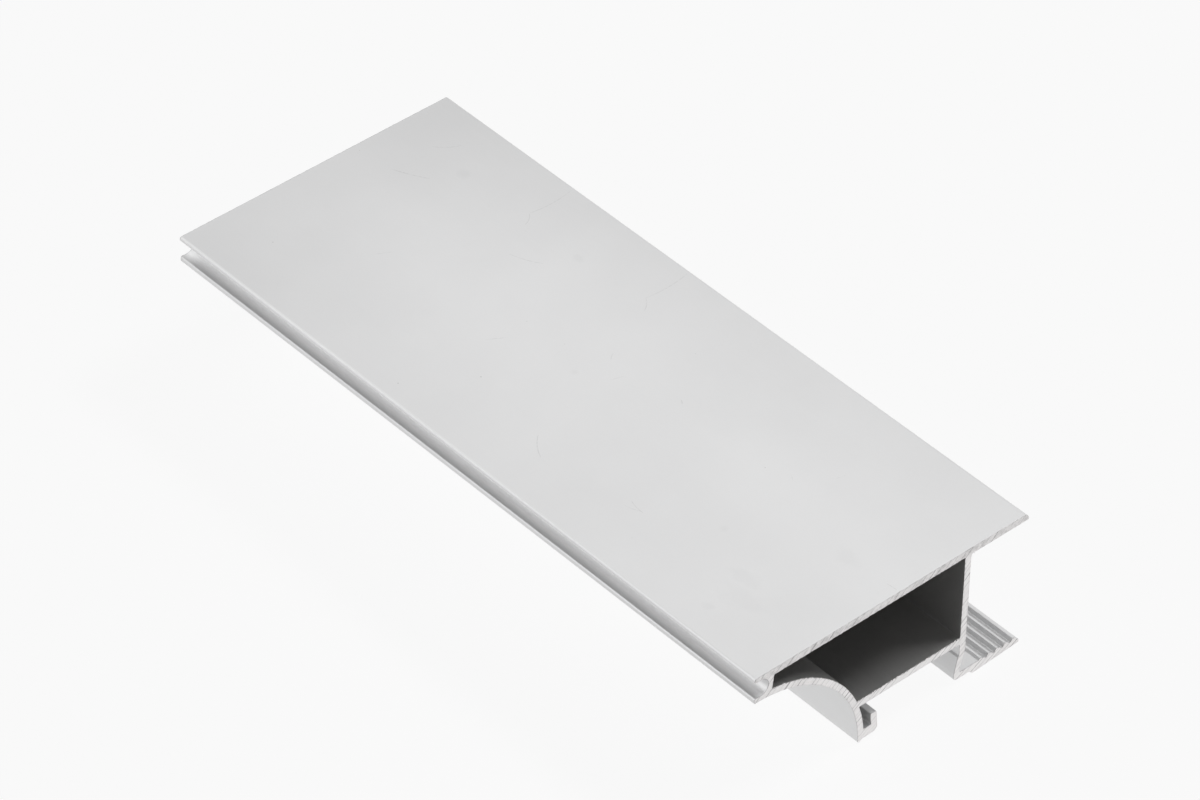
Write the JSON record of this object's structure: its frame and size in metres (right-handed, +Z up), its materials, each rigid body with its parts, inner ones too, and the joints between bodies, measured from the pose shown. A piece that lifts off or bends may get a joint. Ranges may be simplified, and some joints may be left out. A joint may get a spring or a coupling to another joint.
{
  "type": "aluminium extrusion profile",
  "caption": "Hollow aluminium door-stile extrusion: box chamber, panel pocket over a ridged foot, quarter-round finger grip with a hook, and a seal groove.",
  "frame": {"origin": "middle of the bar's footprint, at the height of the lowest line of its foot", "axes": "+Y along the bar, +Z up out of the wide face, +X towards the open side of the panel pocket"},
  "size_m": [0.0622, 0.15, 0.0298],
  "materials": {
    "mill_aluminium": "mill finish with fine die lines, saw-cut ends"
  },
  "bodies": {
    "root": {"profile": "mill_aluminium"}
  },
  "joints": []
}
